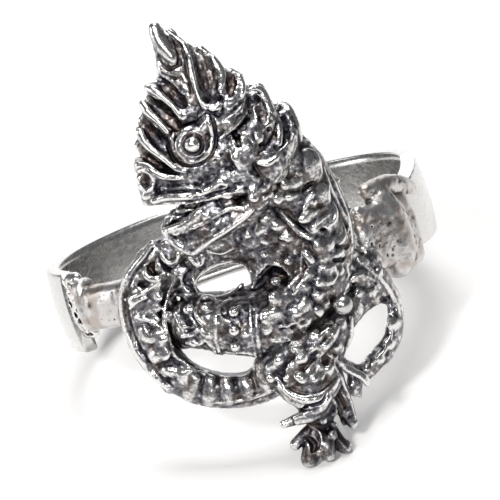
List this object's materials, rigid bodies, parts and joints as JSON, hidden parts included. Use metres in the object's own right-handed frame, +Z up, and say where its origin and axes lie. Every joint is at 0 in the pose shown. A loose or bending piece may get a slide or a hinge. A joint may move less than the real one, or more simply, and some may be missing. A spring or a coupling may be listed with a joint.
{
  "type": "dragon ring",
  "caption": "Cast silver finger ring: a crested serpent dragon with a coiled tail and a clawed foot on a plain band.",
  "frame": {"origin": "middle of the box's underside, on the surface that the ring lies on", "axes": "+Z up; the dragon's face side looks to -Y; +X to the right as the picture shows it, the belly loop's side"},
  "size_m": [0.0206, 0.0252, 0.0222],
  "materials": {
    "silver": "satin"
  },
  "bodies": {
    "root": {"dragon_ring": "silver"}
  },
  "joints": []
}
